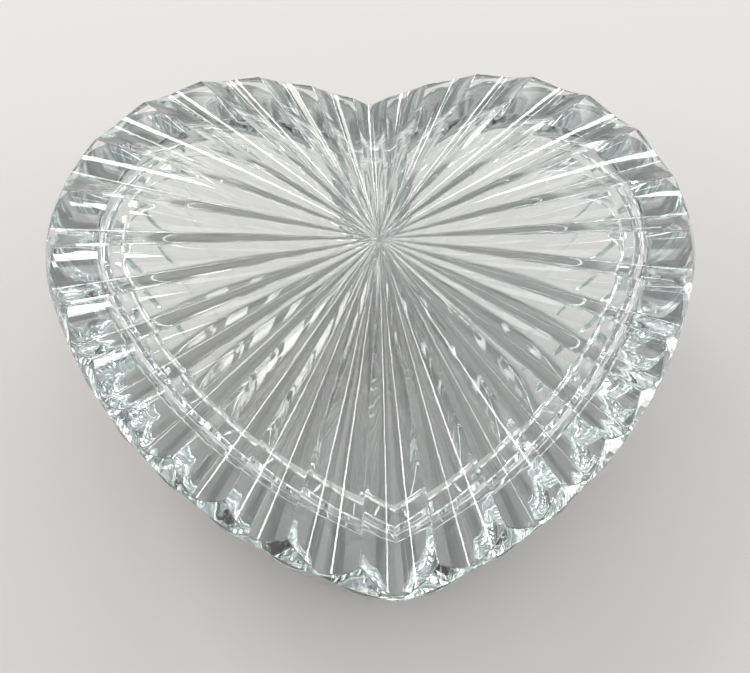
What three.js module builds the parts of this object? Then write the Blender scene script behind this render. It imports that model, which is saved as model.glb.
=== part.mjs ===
// Heart-shaped crystal trinket box: a deep fluted bowl and a loose sunburst lid.
// Millimetres, +Z up. The heart's tip points to -Y and its notch to +Y, and it
// mirrors left to right in the plane X = 0.
import * as THREE from 'three';

// ---- Heart outline -----------------------------------------------------------
// Half of the lid's edge in plan, from the notch round the right lobe to the tip,
// as tangent arcs that all turn the same way. The point (0, 0) is the hub of the
// sunburst, where every pleat meets.
const NOTCH_Y = 36.4;
const NOTCH_HEADING = 26.3;
const HEART_ARCS = [
  { radius: 90, sweep: 11.9 }, // shallow rise out of the notch
  { radius: 38.4, sweep: 124.5 }, // lobe
  { radius: 93.6, sweep: 53.8 }, // flank
  { radius: 4, sweep: 25 }, // rounded tip
];
const ARC_STEP = 0.5; // degrees between outline points

// ---- Sunburst ----------------------------------------------------------------
const PITCH = 12; // degrees from one valley to the next
const COLUMNS = 120; // directions the surfaces are drawn through
const STEP = 360 / COLUMNS;

// ---- Lid ---------------------------------------------------------------------
const GAP = 0.3; // between the lid's underside and the bowl's lip
const EDGE = 1.7; // upright band round the lid's lower edge
const WALL_IN = 3.3; // above the band the wall leans in this far, up to the ridges
const WALL_SLOPE = 1.5; // rise per mm of that lean
const PLEAT_FALL = 0.0655; // valleys fall this much per mm away from the hub
const HOLLOW = 0.012; // each face is ground hollow by this much per mm from the hub
const RIM_OUT = 10.4; // locating rim, outer face inside the edge
const RIM_IN = 15; // locating rim, inner face inside the edge
const RIM_DEPTH = 3;
const RIM_DRAFT = 1.3; // the rim's outer face leans in this much on its way down
const RIM_BACK_DRAFT = 0.5; // and its inner face leans out this much
const RIM_ROUND = 0.5; // radius of its lower edges

// ---- Bowl --------------------------------------------------------------------
const BOWL_HEIGHT = 43;
const GROOVE = 1.2; // grooves between the flutes would be this far inside the lid's edge
const FLUTE = 1.9; // and crests stand out this far from them
const FLUTE_CURVE = 0.62; // sine of the slope of a flute's side at its groove
const GROOVE_ROUND = 0.22; // half width of a groove's hollow rounding, in half flutes
const CAVITY = 9.6; // cavity wall inside the lid's edge, at the lip
const LIP_ROUND = 0.8; // radius of the lip's edges
const DRAFT = 0.4; // cavity wall and flutes lean in this much on their way down
const FLOOR = 8; // glass under the cavity
const CORNER = 6; // radius between the cavity's wall and floor
const HEEL = 11; // height over which the side curves in under the bowl
const FOOT = 6.4; // outer edge of the ring it stands on, inside the lid's edge
const FOOT_WIDTH = 6;
const FOOT_FLUTE = 0.6; // share of a flute's depth that is left at the foot
const RECESS = 1.2; // underside is hollow inside that ring
const RECESS_SLOPE = 1.2; // the step up into it leans in this much
const ROUND_STEPS = 3; // flat steps round a curved corner

// ---- Outline in plan ---------------------------------------------------------
const rad = THREE.MathUtils.degToRad;

function halfOutline() {
  const points = [new THREE.Vector2(0, NOTCH_Y)];
  let at = points[0].clone();
  let heading = NOTCH_HEADING;
  for (const { radius, sweep } of HEART_ARCS) {
    const h = rad(heading);
    const centre = new THREE.Vector2(at.x + radius * Math.sin(h), at.y - radius * Math.cos(h));
    const steps = Math.ceil(sweep / ARC_STEP);
    for (let i = 1; i <= steps; i += 1) {
      const a = rad(heading - (sweep * i) / steps);
      at = new THREE.Vector2(centre.x - radius * Math.sin(a), centre.y + radius * Math.cos(a));
      points.push(at);
    }
    heading -= sweep;
  }
  return points.filter((p) => p.x >= 0);
}

const outline = halfOutline();

// Directions are degrees from the tip, and the heart is the same at -a and at a.
const folded = (a) => Math.abs(((a + 180) % 360) - 180);

// Distance from the hub to the heart's outline.
function outlineRadius(a) {
  const t = rad(folded(a));
  const dir = new THREE.Vector2(Math.sin(t), -Math.cos(t));
  for (let i = 1; i < outline.length; i += 1) {
    const p = outline[i - 1];
    const q = outline[i];
    const sp = dir.cross(p);
    const sq = dir.cross(q);
    if (sp >= 0 && sq <= 0) {
      const k = sp === sq ? 0 : sp / (sp - sq);
      return new THREE.Vector2().lerpVectors(p, q, k).length();
    }
  }
  return outline[outline.length - 1].length();
}

// Shortest way from a point to the outline of the whole heart.
function outlineGap(x, y) {
  let best = Infinity;
  for (let i = 1; i < outline.length; i += 1) {
    const p = outline[i - 1];
    const q = outline[i];
    const ux = q.x - p.x;
    const uy = q.y - p.y;
    const k = THREE.MathUtils.clamp(((x - p.x) * ux + (y - p.y) * uy) / (ux * ux + uy * uy), 0, 1);
    best = Math.min(best, Math.hypot(x - p.x - k * ux, y - p.y - k * uy));
  }
  return best;
}

// Distance from the hub to the curve that runs `inset` inside the outline, or
// outside it when `inset` is negative.
function insetRadius(a, inset) {
  const t = rad(folded(a));
  const edge = outlineRadius(a);
  let low = 0;
  let high = edge * 1.5;
  for (let i = 0; i < 40; i += 1) {
    const r = (low + high) / 2;
    const side = r < edge ? 1 : -1;
    const inside = side * outlineGap(r * Math.sin(t), -r * Math.cos(t));
    if (inside > inset) {
      low = r;
    } else {
      high = r;
    }
  }
  return (low + high) / 2;
}

// One round flute between two valleys of the sunburst: 1 at its crest, on a circular
// arc that would reach 0 at its grooves if they weren't rounded out.
function hump(a) {
  const x = Math.abs((a % PITCH) / (PITCH / 2) - 1);
  const inner = 1 - GROOVE_ROUND;
  const edge = Math.sqrt(1 - FLUTE_CURVE ** 2);
  const cosine = Math.sqrt(1 - (FLUTE_CURVE * Math.min(x, inner)) ** 2);
  const slope = (FLUTE_CURVE ** 2 * inner) / cosine;
  const into = Math.max(0, x - inner);
  return (cosine - edge - slope * (into - into ** 2 / (2 * GROOVE_ROUND))) / (1 - edge);
}

// ---- Solids from rings ---------------------------------------------------------
// A closed skin from a top centre point, through rings of points, to a bottom
// centre point. Each ring is a function from a direction to {r, z}.
function ringSolid(topZ, rings, bottomZ) {
  const xyz = [0, 0, topZ];
  for (const ring of rings) {
    for (let j = 0; j < COLUMNS; j += 1) {
      const { r, z } = ring(j * STEP);
      const t = rad(j * STEP);
      xyz.push(r * Math.sin(t), -r * Math.cos(t), z);
    }
  }
  xyz.push(0, 0, bottomZ);
  const last = xyz.length / 3 - 1;
  const index = [];
  for (let j = 0; j < COLUMNS; j += 1) {
    const k = (j + 1) % COLUMNS;
    index.push(0, 1 + j, 1 + k);
    for (let n = 0; n + 1 < rings.length; n += 1) {
      const a = 1 + n * COLUMNS;
      const b = a + COLUMNS;
      index.push(a + j, b + j, b + k);
      index.push(a + j, b + k, a + k);
    }
    const end = 1 + (rings.length - 1) * COLUMNS;
    index.push(last, end + k, end + j);
  }
  const geometry = new THREE.BufferGeometry();
  geometry.setAttribute('position', new THREE.Float32BufferAttribute(xyz, 3));
  geometry.setIndex(index);
  return geometry;
}

const level = (inset, z) => (a) => ({ r: insetRadius(a, inset), z });

// Rings along a quarter ellipse that is upright at (inset0, z0) and flat at (inset1, z1).
function quarter(inset0, z0, inset1, z1, ring) {
  const rings = [];
  for (let i = 0; i <= ROUND_STEPS; i += 1) {
    const q = ((Math.PI / 2) * i) / ROUND_STEPS;
    const inset = inset0 + (inset1 - inset0) * (1 - Math.cos(q));
    rings.push(ring(inset, z0 + (z1 - z0) * Math.sin(q)));
  }
  return rings;
}

// ---- Lid -----------------------------------------------------------------------
const LID_UNDER = BOWL_HEIGHT + GAP;
const LID_TOP = LID_UNDER + EDGE + WALL_IN * WALL_SLOPE;

// Fall of the pleated top, per mm from the hub: none along a ridge, most along a
// valley, straight between them apart from the hollow in the middle of the face.
function pleatFall(a) {
  const toRidge = Math.abs((a % PITCH) - PITCH / 2) / (PITCH / 2);
  return PLEAT_FALL * toRidge + HOLLOW * 4 * toRidge * (1 - toRidge);
}

// Where the pleated top meets the leaning wall.
function crown(a) {
  const t = rad(folded(a));
  const fall = pleatFall(a);
  let low = 0;
  let high = outlineRadius(a);
  for (let i = 0; i < 40; i += 1) {
    const r = (low + high) / 2;
    const lean = WALL_IN - outlineGap(r * Math.sin(t), -r * Math.cos(t));
    if (r * fall > lean * WALL_SLOPE) {
      low = r;
    } else {
      high = r;
    }
  }
  return { r: low, z: LID_TOP - low * fall };
}

const RIM_FOOT = LID_UNDER - RIM_DEPTH;
const RIM_FRONT = RIM_OUT + RIM_DRAFT;
const RIM_BACK = RIM_IN - RIM_BACK_DRAFT;

const lidShape = ringSolid(
  LID_TOP,
  [
    crown,
    level(0, LID_UNDER + EDGE),
    level(0, LID_UNDER),
    level(RIM_OUT, LID_UNDER),
    ...quarter(RIM_FRONT, RIM_FOOT + RIM_ROUND, RIM_FRONT + RIM_ROUND, RIM_FOOT, level),
    ...quarter(RIM_BACK, RIM_FOOT + RIM_ROUND, RIM_BACK - RIM_ROUND, RIM_FOOT, level).reverse(),
    level(RIM_IN, LID_UNDER),
  ],
  LID_UNDER,
);

// ---- Bowl ----------------------------------------------------------------------
const fluted = (inset, z, share = 1) => (a) => ({
  r: insetRadius(a, inset) + FLUTE * share * hump(a),
  z,
});

const heelFlute = (inset, z) => fluted(inset, z, THREE.MathUtils.lerp(FOOT_FLUTE, 1, z / HEEL));

const bowlShape = ringSolid(
  FLOOR,
  [
    ...quarter(CAVITY + DRAFT, FLOOR + CORNER, CAVITY + CORNER, FLOOR, level).reverse(),
    ...quarter(CAVITY, BOWL_HEIGHT - LIP_ROUND, CAVITY - LIP_ROUND, BOWL_HEIGHT, level),
    ...quarter(GROOVE, BOWL_HEIGHT - LIP_ROUND, GROOVE + LIP_ROUND, BOWL_HEIGHT, fluted).reverse(),
    ...quarter(GROOVE + DRAFT, HEEL, FOOT, 0, heelFlute),
    level(FOOT + FOOT_WIDTH, 0),
    level(FOOT + FOOT_WIDTH + RECESS_SLOPE, RECESS),
  ],
  RECESS,
);

// ---- Assembly --------------------------------------------------------------------
function crystal(name, geometry) {
  geometry.computeVertexNormals();
  const material = new THREE.MeshStandardMaterial({
    color: 0xeef3f2,
    roughness: 0.03,
    metalness: 0,
    transparent: true,
    opacity: 0.35,
    flatShading: true,
  });
  material.name = name;
  const mesh = new THREE.Mesh(geometry, material);
  mesh.name = name;
  return mesh;
}

// The origin is under the middle of the box's footprint.
const all = new THREE.Box3();
for (const shape of [lidShape, bowlShape]) {
  shape.computeBoundingBox();
  all.union(shape.boundingBox);
}
const middle = all.getCenter(new THREE.Vector3());
for (const shape of [lidShape, bowlShape]) {
  shape.translate(0, -middle.y, 0);
}

const group = new THREE.Group();
group.name = 'heart_trinket_box';
group.add(crystal('bowl', bowlShape));
group.add(crystal('lid', lidShape));

export default group;
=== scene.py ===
# Heart-shaped crystal trinket box: a deep fluted bowl under a loose sunburst lid.
# Metres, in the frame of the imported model: +Z up, tip of the heart to -Y. Shapes are
# worked out in millimetres about the hub of the sunburst, then scaled by MM.
import math

import bpy
import numpy as np
from mathutils import Matrix, Vector


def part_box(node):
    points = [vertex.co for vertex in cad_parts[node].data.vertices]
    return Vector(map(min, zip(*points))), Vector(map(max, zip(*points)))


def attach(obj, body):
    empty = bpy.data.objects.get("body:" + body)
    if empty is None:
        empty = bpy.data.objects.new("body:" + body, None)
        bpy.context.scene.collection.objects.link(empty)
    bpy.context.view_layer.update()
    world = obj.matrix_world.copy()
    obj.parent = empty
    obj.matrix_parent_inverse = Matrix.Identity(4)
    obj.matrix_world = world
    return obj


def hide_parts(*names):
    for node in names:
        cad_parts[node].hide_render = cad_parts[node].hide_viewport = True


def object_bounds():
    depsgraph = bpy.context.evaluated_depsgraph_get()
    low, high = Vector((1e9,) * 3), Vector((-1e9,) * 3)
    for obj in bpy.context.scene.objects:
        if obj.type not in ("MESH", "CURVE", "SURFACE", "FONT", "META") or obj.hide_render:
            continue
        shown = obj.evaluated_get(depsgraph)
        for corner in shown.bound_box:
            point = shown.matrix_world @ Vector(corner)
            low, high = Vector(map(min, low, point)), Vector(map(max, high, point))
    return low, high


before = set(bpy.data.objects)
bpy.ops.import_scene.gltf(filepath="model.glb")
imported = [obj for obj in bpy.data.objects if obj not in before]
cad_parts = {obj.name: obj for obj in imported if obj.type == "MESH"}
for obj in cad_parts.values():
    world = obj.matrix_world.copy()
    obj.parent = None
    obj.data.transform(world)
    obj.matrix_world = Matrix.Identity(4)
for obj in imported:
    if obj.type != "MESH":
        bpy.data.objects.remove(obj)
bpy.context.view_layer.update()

MM = 0.001

# ---- Heart outline in plan -------------------------------------------------------
NOTCH_Y = 36.4  # notch from the hub
NOTCH_HEADING = 26.3  # degrees above +X in which the outline leaves the notch
HEART_ARCS = ((90, 11.9), (38.4, 124.5), (93.6, 53.8), (4, 25))  # radius, sweep
ARC_STEP = 0.5  # degrees between outline points

PITCH = 12  # degrees from one valley of the sunburst to the next

# ---- Lid -------------------------------------------------------------------------
EDGE = 1.7  # upright band round the lid's lower edge
WALL_IN = 3.3  # above the band the wall leans in this far
WALL_SLOPE = 1.5  # rise per mm of that lean
PLEAT_FALL = 0.0655  # valleys fall this much per mm away from the hub
HOLLOW = 0.012  # each face is ground hollow by this much per mm from the hub
RIDGE_ROUND = 0.035  # half width of the rounding on a ridge, in face widths
VALLEY_ROUND = 0.07  # and of the rounding in a valley
RIM_OUT = 10.4  # locating rim, outer face inside the lid's edge
RIM_IN = 15  # and its inner face
RIM_DEPTH = 3
RIM_DRAFT = 1.3  # the rim's outer face leans in this much on its way down
RIM_BACK_DRAFT = 0.5  # and its inner face leans out this much
RIM_ROUND = 0.5  # radius of the lower edges of the rim and of the lid

# ---- Bowl ------------------------------------------------------------------------
# The grooves lie a tenth of a mm deeper than in the solids, whose flat facets cut the
# widest place short.
GROOVE = 1.31  # grooves between the flutes, inside the lid's edge
FLUTE = 1.9  # crests of the flutes stand out this far from them
FLUTE_CURVE = 0.62  # sine of the slope of a flute's side at its groove
GROOVE_ROUND = 0.22  # half width of a groove's hollow rounding, in half flutes
CAVITY = 9.6  # cavity wall inside the lid's edge, at the lip
LIP_ROUND = 0.8  # radius of the lip's edges
DRAFT = 0.4  # cavity wall and flutes lean in this much on their way down
FLOOR = 8  # glass under the cavity
CORNER = 6  # radius between the cavity's wall and floor
HEEL = 11  # height over which the side curves in under the bowl
FOOT = 6.4  # outer edge of the ring it stands on, inside the lid's edge
FOOT_WIDTH = 6
FOOT_FLUTE = 0.6  # share of a flute's depth that is left at the foot
RECESS = 1.2  # underside is hollow inside that ring
RECESS_SLOPE = 1.2  # the step up into it leans in this much

# ---- How finely the pieces are drawn ---------------------------------------------
FACE_STEPS = (0, 0.035, 0.07, 0.12, 0.26, 0.42, 0.58, 0.74, 0.88, 0.965, 0.983, 1)
FLUTE_STEPS = (0, 0.3, 0.6, 0.9, 1.4, 2.2, 3.1, 4, 5, 6)  # degrees, groove to crest
TOP_SHARES = (0.03, 0.12, 0.35, 0.7)  # rings of the sunburst, hub to crown
CROWN_BREAK = 0.12  # mm on each side of the edge between sunburst and wall
SOFT = 0.2  # mm, small chamfers where two faces meet
ROUND_STEPS = 5  # steps round an edge
CORNER_STEPS = 8  # steps round the cavity's corner and the heel
SHARP = 24  # degrees between faces above which an edge is shaded sharp
HALVINGS = 20  # halvings of a radius in the search for a curve
SEARCH = 1.5  # how far out curves are looked for, in radii of the outline


# ---- Plan geometry ---------------------------------------------------------------
def half_outline():
    """The right half of the heart, notch to tip, as arcs that each start where the last ends."""
    x, y = 0.0, NOTCH_Y
    points = [(x, y)]
    heading = NOTCH_HEADING
    for radius, sweep in HEART_ARCS:
        h = math.radians(heading)
        cx = x + radius * math.sin(h)
        cy = y - radius * math.cos(h)
        steps = math.ceil(sweep / ARC_STEP)
        for i in range(1, steps + 1):
            a = math.radians(heading - sweep * i / steps)
            x = cx - radius * math.sin(a)
            y = cy + radius * math.cos(a)
            points.append((x, y))
        heading -= sweep
    return [p for p in points if p[0] >= 0]


OUTLINE = np.array(half_outline())
SEGMENT = OUTLINE[1:] - OUTLINE[:-1]
SEGMENT_SQUARE = (SEGMENT ** 2).sum(axis=1)
OUTLINE_ANGLE = np.degrees(np.arctan2(OUTLINE[:, 0], -OUTLINE[:, 1]))


def folded(a):
    """Directions are degrees from the tip, and the heart is the same at -a and at a."""
    return np.abs((np.asarray(a) + 180) % 360 - 180)


def plan(a, r):
    t = np.radians(folded(a))
    return np.stack([r * np.sin(t), -r * np.cos(t)], axis=-1)


def outline_radius(a):
    """Distance from the hub to the heart's outline."""
    a = np.atleast_1d(folded(a))
    i = len(OUTLINE) - 1 - np.searchsorted(OUTLINE_ANGLE[::-1], a, side="left")
    i = np.clip(i, 0, len(SEGMENT) - 1)
    d = plan(a, 1.0)
    p, u = OUTLINE[i], SEGMENT[i]
    across_p = d[:, 0] * p[:, 1] - d[:, 1] * p[:, 0]
    across_u = d[:, 0] * u[:, 1] - d[:, 1] * u[:, 0]
    k = np.clip(-across_p / np.where(across_u == 0, 1, across_u), 0, 1)
    return np.linalg.norm(p + k[:, None] * u, axis=1)


def outline_gap(points):
    """Shortest way from each point to the outline."""
    v = points[:, None, :] - OUTLINE[None, :-1, :]
    k = np.clip((v * SEGMENT).sum(axis=2) / SEGMENT_SQUARE, 0, 1)
    return np.sqrt(((v - k[:, :, None] * SEGMENT) ** 2).sum(axis=2).min(axis=1))


def furthest(a, inside, limit):
    """The largest radius along each direction for which inside(radius, points) holds."""
    low, high = np.zeros(len(a)), limit
    for _ in range(HALVINGS):
        r = (low + high) / 2
        keep = inside(r, plan(a, r))
        low, high = np.where(keep, r, low), np.where(keep, high, r)
    return low


def inset_radius(a, inset):
    """Distance from the hub to the curve that runs inset mm inside the outline."""
    edge = outline_radius(a)
    return furthest(
        a, lambda r, p: np.where(r < edge, 1, -1) * outline_gap(p) > inset, edge * SEARCH)


lid_low, lid_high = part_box("lid")
HUB_Y = lid_low[1] / MM + outline_radius(0)[0]
LID_TOP = lid_high[2] / MM
BAND_TOP = LID_TOP - WALL_IN * WALL_SLOPE
LID_UNDER = BAND_TOP - EDGE
BOWL_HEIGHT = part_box("bowl")[1][2] / MM


# ---- Pieces from rings -------------------------------------------------------------
def ring_mesh(name, columns, top_z, rings, bottom_z):
    """A closed skin from a top centre point, through rings, to a bottom centre point.

    Each ring is a function from the directions of the columns to a radius and a height.
    """
    verts = [(0, HUB_Y * MM, top_z * MM)]
    t = np.radians(columns)
    for ring in rings:
        r, z = ring(columns)
        z = np.broadcast_to(z, r.shape)
        xyz = np.stack([r * np.sin(t), HUB_Y - r * np.cos(t), z], axis=1) * MM
        verts += [tuple(p) for p in xyz.tolist()]
    verts.append((0, HUB_Y * MM, bottom_z * MM))
    n = len(columns)
    last = len(verts) - 1
    end = 1 + (len(rings) - 1) * n
    faces = []
    for j in range(n):
        k = (j + 1) % n
        faces.append((0, 1 + j, 1 + k))
        for a in range(1, end, n):
            b = a + n
            faces.append((a + j, b + j, b + k, a + k))
        faces.append((last, end + k, end + j))
    mesh = bpy.data.meshes.new(name)
    mesh.from_pydata(verts, [], faces)
    mesh.validate()
    piece = bpy.data.objects.new(name, mesh)
    bpy.context.scene.collection.objects.link(piece)
    mesh.shade_smooth()
    mesh.set_sharp_from_angle(angle=math.radians(SHARP))
    return piece


def level(inset, z):
    return lambda a: (inset_radius(a, inset), z)


def quarter(inset0, z0, inset1, z1, steps, ring):
    """Rings along a quarter ellipse, upright at (inset0, z0) and flat at (inset1, z1)."""
    rings = []
    for i in range(steps + 1):
        q = math.pi / 2 * i / steps
        inset = inset0 + (inset1 - inset0) * (1 - math.cos(q))
        rings.append(ring(inset, z0 + (z1 - z0) * math.sin(q)))
    return rings


# ---- Lid shape -----------------------------------------------------------------------
def lid_columns():
    columns = []
    for face in range(360 * 2 // PITCH):
        for step in FACE_STEPS:
            turn = step if face % 2 == 0 else 1 - step
            columns.append((face + turn) * PITCH / 2)
    return np.array(sorted({round(a % 360, 6) for a in columns}))


def pleat_fall(a):
    """How far the top falls per mm from the hub: none on a ridge, most in a valley.

    Each face between them is hollow, and rounds take over close to the ridge and valley.
    """
    from_ridge = np.abs(a % PITCH - PITCH / 2) / (PITCH / 2)
    from_valley = 1 - from_ridge
    face = PLEAT_FALL * from_ridge + 4 * HOLLOW * from_ridge * from_valley

    slope = PLEAT_FALL + 4 * HOLLOW * (1 - 2 * RIDGE_ROUND)
    ridge = slope * RIDGE_ROUND * (1 + (from_ridge / RIDGE_ROUND) ** 2) / 2

    slope = PLEAT_FALL - 4 * HOLLOW * (1 - 2 * VALLEY_ROUND)
    meets = (1 - VALLEY_ROUND) * (PLEAT_FALL + 4 * HOLLOW * VALLEY_ROUND)
    valley = meets + slope * VALLEY_ROUND * (1 - (from_valley / VALLEY_ROUND) ** 2) / 2

    fall = np.where(from_ridge < RIDGE_ROUND, ridge, face)
    return np.where(from_valley < VALLEY_ROUND, valley, fall)


def crown_radius(a):
    """Where the sunburst meets the leaning wall."""
    fall = pleat_fall(a)
    return furthest(
        a, lambda r, p: r * fall > (WALL_IN - outline_gap(p)) * WALL_SLOPE, outline_radius(a))


def top_ring(share, back=0.0):
    """On the sunburst: a share of the way to the crown, less back mm."""
    def ring(a):
        r = crown_radius(a) * share - back
        return r, LID_TOP - r * pleat_fall(a)
    return ring


def wall_ring(down, share=0.0):
    """On the leaning wall: down mm below the crown, or a share of the way to the band."""
    def ring(a):
        r = crown_radius(a)
        z = LID_TOP - r * pleat_fall(a)
        drop = z - BAND_TOP
        k = np.maximum(np.minimum(1, down / np.maximum(drop, 1e-6)), share)
        return r + k * (outline_radius(a) - r), z - k * drop
    return ring


def make_lid():
    rim_foot = LID_UNDER - RIM_DEPTH
    front = RIM_OUT + RIM_DRAFT
    back = RIM_IN - RIM_BACK_DRAFT
    sunburst = [top_ring(share) for share in TOP_SHARES] + [top_ring(1, CROWN_BREAK)]
    # The wall bulges by a hair above the band, so that the corner between them is soft.
    wall = [
        wall_ring(CROWN_BREAK), wall_ring(0, 0.5),
        level(0.02, BAND_TOP + 0.05), level(0, BAND_TOP - 0.15),
    ]
    edge = quarter(0, LID_UNDER + RIM_ROUND, RIM_ROUND, LID_UNDER, ROUND_STEPS, level)
    rim = (
        [level(RIM_OUT - SOFT, LID_UNDER), level(RIM_OUT, LID_UNDER - SOFT)]
        + quarter(front, rim_foot + RIM_ROUND, front + RIM_ROUND, rim_foot, ROUND_STEPS, level)
        + quarter(back, rim_foot + RIM_ROUND, back - RIM_ROUND, rim_foot, ROUND_STEPS, level)[::-1]
        + [level(RIM_IN, LID_UNDER - SOFT), level(RIM_IN + SOFT, LID_UNDER)]
    )
    return ring_mesh(
        "crystal_lid", lid_columns(), LID_TOP, sunburst + wall + edge + rim, LID_UNDER)


# ---- Bowl shape ----------------------------------------------------------------------
def bowl_columns():
    steps = FLUTE_STEPS + tuple(PITCH - s for s in FLUTE_STEPS[1:-1])
    return np.array(sorted(groove + s for groove in range(0, 360, PITCH) for s in steps), float)


def hump(a):
    """One round flute: 1 at its crest, on an arc that would reach 0 at unrounded grooves."""
    x = np.abs(a % PITCH / (PITCH / 2) - 1)
    edge = math.sqrt(1 - FLUTE_CURVE ** 2)
    inner = 1 - GROOVE_ROUND
    arc = (np.sqrt(1 - (FLUTE_CURVE * np.minimum(x, inner)) ** 2) - edge) / (1 - edge)
    slope = FLUTE_CURVE ** 2 * inner / math.sqrt(1 - (FLUTE_CURVE * inner) ** 2) / (1 - edge)
    into = (x - inner).clip(0)
    return arc - slope * (into - into ** 2 / (2 * GROOVE_ROUND))


def fluted(inset, z, share=1.0):
    return lambda a: (inset_radius(a, inset) + FLUTE * share * hump(a), z)


def heel_flute(inset, z):
    return fluted(inset, z, FOOT_FLUTE + (1 - FOOT_FLUTE) * z / HEEL)


def make_bowl():
    foot_inner = FOOT + FOOT_WIDTH
    corner = quarter(
        CAVITY + DRAFT, FLOOR + CORNER, CAVITY + CORNER, FLOOR, CORNER_STEPS, level)[::-1]
    lip_under = BOWL_HEIGHT - LIP_ROUND
    lip_in = quarter(CAVITY, lip_under, CAVITY - LIP_ROUND, BOWL_HEIGHT, ROUND_STEPS, level)
    lip_out = quarter(
        GROOVE, lip_under, GROOVE + LIP_ROUND, BOWL_HEIGHT, ROUND_STEPS, fluted)[::-1]
    heel = quarter(GROOVE + DRAFT, HEEL, FOOT, 0, CORNER_STEPS, heel_flute)
    foot = [
        level(foot_inner, 0), level(foot_inner + SOFT, SOFT),
        level(foot_inner + RECESS_SLOPE, RECESS),
    ]
    rings = [level(CAVITY + 2 * CORNER, FLOOR)] + corner + lip_in + lip_out + heel + foot
    return ring_mesh("crystal_bowl", bowl_columns(), FLOOR, rings, RECESS)


# ---- Crystal -------------------------------------------------------------------------
CRYSTAL_IOR = 1.55
POLISH_SCALE = 60  # patches of duller polish, about 17 mm apart
DULLEST = 0.015  # roughness where the polish is poorest
CLEAR = (1, 1, 1, 1)
FAINT_GREEN = (0.975, 0.985, 0.98, 1)
RIPPLE_SCALE = 140  # waves of pressed glass, about 7 mm apart
RIPPLE_HEIGHT = 0.0006
DEPTH_TINT = (0.72, 0.86, 0.82, 1)
DEPTH_DENSITY = 5


def crystal(name, wave):
    """Clear lead crystal: a slightly uneven polish, and wave as the strength of its ripple."""
    mat = bpy.data.materials.new(name)
    mat.use_nodes = True
    nodes, links = mat.node_tree.nodes, mat.node_tree.links
    bsdf = nodes["Principled BSDF"]
    bsdf.inputs["Transmission Weight"].default_value = 1
    bsdf.inputs["IOR"].default_value = CRYSTAL_IOR
    coord = nodes.new("ShaderNodeTexCoord")

    polish = nodes.new("ShaderNodeTexNoise")
    polish.inputs["Scale"].default_value = POLISH_SCALE
    polish.inputs["Detail"].default_value = 3
    rough = nodes.new("ShaderNodeMapRange")
    rough.inputs["From Min"].default_value = 0.35
    rough.inputs["From Max"].default_value = 0.75
    rough.inputs["To Min"].default_value = 0
    rough.inputs["To Max"].default_value = DULLEST
    links.new(coord.outputs["Object"], polish.inputs["Vector"])
    links.new(polish.outputs["Fac"], rough.inputs["Value"])
    links.new(rough.outputs["Result"], bsdf.inputs["Roughness"])

    tint = nodes.new("ShaderNodeValToRGB")
    green, clear = tint.color_ramp.elements
    green.position, green.color = 0.3, FAINT_GREEN
    clear.position, clear.color = 0.7, CLEAR
    links.new(polish.outputs["Fac"], tint.inputs["Fac"])
    links.new(tint.outputs["Color"], bsdf.inputs["Base Color"])

    ripple = nodes.new("ShaderNodeTexNoise")
    ripple.inputs["Scale"].default_value = RIPPLE_SCALE
    ripple.inputs["Detail"].default_value = 2
    bump = nodes.new("ShaderNodeBump")
    bump.inputs["Strength"].default_value = wave
    bump.inputs["Distance"].default_value = RIPPLE_HEIGHT
    links.new(coord.outputs["Object"], ripple.inputs["Vector"])
    links.new(ripple.outputs["Fac"], bump.inputs["Height"])
    links.new(bump.outputs["Normal"], bsdf.inputs["Normal"])

    absorb = nodes.new("ShaderNodeVolumeAbsorption")
    absorb.inputs["Color"].default_value = DEPTH_TINT
    absorb.inputs["Density"].default_value = DEPTH_DENSITY
    links.new(absorb.outputs["Volume"], nodes["Material Output"].inputs["Volume"])
    return mat


# ---- The two pieces --------------------------------------------------------------------
lid = make_lid()
lid.data.materials.append(crystal("lid_crystal_look", 0.03))
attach(lid, "lid")
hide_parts("lid")

bowl = make_bowl()
bowl.data.materials.append(crystal("bowl_crystal_look", 0.04))
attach(bowl, "bowl")
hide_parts("bowl")

# ---- Floor -----------------------------------------------------------------------------
FLOOR_REACH = 14  # half its side, in lengths of the box
FLOOR_GAP = 0.2 * MM  # keeps it clear of the foot
FLOOR_COLOUR = (0.56, 0.545, 0.53, 1)

low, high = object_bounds()
half = max(high[0] - low[0], high[1] - low[1]) * FLOOR_REACH
floor_z = low[2] - FLOOR_GAP
floor_mesh = bpy.data.meshes.new("floor")
floor_mesh.from_pydata(
    [(-half, -half, floor_z), (half, -half, floor_z), (half, half, floor_z), (-half, half, floor_z)],
    [], [(0, 1, 2, 3)],
)
floor = bpy.data.objects.new("floor", floor_mesh)
bpy.context.scene.collection.objects.link(floor)
floor_mat = bpy.data.materials.new("pale_floor")
floor_mat.use_nodes = True
floor_bsdf = floor_mat.node_tree.nodes["Principled BSDF"]
floor_bsdf.inputs["Base Color"].default_value = FLOOR_COLOUR
floor_bsdf.inputs["Roughness"].default_value = 0.8
floor_mesh.materials.append(floor_mat)

# ---- Light -----------------------------------------------------------------------------
# A dim box overhead fills the glass, a window lights it from behind, and thin strips
# draw a bright line along each ridge and valley.
NEUTRAL = (1, 0.99, 0.97)
WARM = (1, 0.98, 0.95)
COOL = (0.97, 0.98, 1)
LIGHTS = (  # name, place, width, height, watts, colour
    ("overhead", (0, 0.1, 0.9), 0.9, 0.7, 2.6, NEUTRAL),
    ("window", (-0.42, 0.62, 0.7), 0.3, 0.24, 2.2, WARM),
    ("left_strip", (-0.5, 0.05, 0.5), 0.8, 0.04, 2.0, WARM),
    ("right_strip", (0.5, 0.05, 0.5), 0.8, 0.04, 1.7, COOL),
    ("back_strip", (0.15, 0.6, 0.42), 0.7, 0.04, 1.8, COOL),
)
SKY_COLOUR = (0.92, 0.95, 1, 1)
SKY_STRENGTH = 0.38


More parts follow.
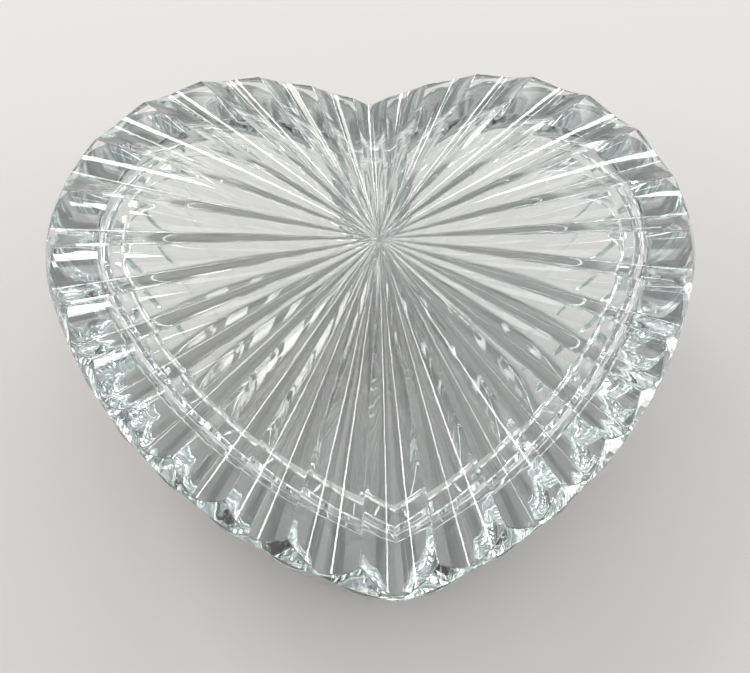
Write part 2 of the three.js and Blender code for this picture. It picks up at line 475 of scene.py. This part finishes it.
def area_light(name, place, width, height, watts, colour, target):
    data = bpy.data.lights.new(name, "AREA")
    data.shape = "RECTANGLE"
    data.size = width
    data.size_y = height
    data.energy = watts
    data.color = colour
    light = bpy.data.objects.new(name, data)
    light.location = place
    light.rotation_euler = (target - Vector(place)).to_track_quat("-Z", "Y").to_euler()
    bpy.context.scene.collection.objects.link(light)


for row in LIGHTS:
    area_light(*row, target=Vector((0, 0, LID_UNDER * MM)))

world = bpy.data.worlds.new("studio")
bpy.context.scene.world = world
world.use_nodes = True
background = world.node_tree.nodes["Background"]
background.inputs["Color"].default_value = SKY_COLOUR
background.inputs["Strength"].default_value = SKY_STRENGTH

# ---- Camera ----------------------------------------------------------------------------
# Close above the tip, a little to the left, looking down on the lid.
AZIMUTH, ELEVATION, ROLL = (math.radians(v) for v in (-7.99, 67.37, 5.42))
FROM_HUB = Vector((-8.46, -67.31, 113.41)) * MM  # camera from the hub at the ridges' level
SENSOR = 36
LENS = 32.47

back = Vector((
    math.sin(AZIMUTH) * math.cos(ELEVATION),
    -math.cos(AZIMUTH) * math.cos(ELEVATION),
    math.sin(ELEVATION),
))
right = Vector((math.cos(AZIMUTH), math.sin(AZIMUTH), 0))
up = back.cross(right)
cam_right = right * math.cos(ROLL) + up * math.sin(ROLL)
cam_up = up * math.cos(ROLL) - right * math.sin(ROLL)
place = Matrix((cam_right, cam_up, back)).transposed().to_4x4()
place.translation = Vector((0, HUB_Y * MM, LID_TOP * MM)) + FROM_HUB

cam_data = bpy.data.cameras.new("camera")
cam_data.sensor_width = SENSOR
cam_data.lens = LENS
cam_data.clip_start = 0.01
camera = bpy.data.objects.new("camera", cam_data)
camera.matrix_world = place
bpy.context.scene.collection.objects.link(camera)
bpy.context.scene.camera = camera

# ---- Light paths through thick glass ---------------------------------------------------
cycles = bpy.context.scene.cycles
cycles.max_bounces = 24
cycles.transmission_bounces = 24
cycles.glossy_bounces = 12
cycles.diffuse_bounces = 3
cycles.caustics_refractive = True
cycles.caustics_reflective = True
cycles.sample_clamp_indirect = 8
cycles.use_denoising = True
bpy.context.scene.view_settings.view_transform = "Standard"
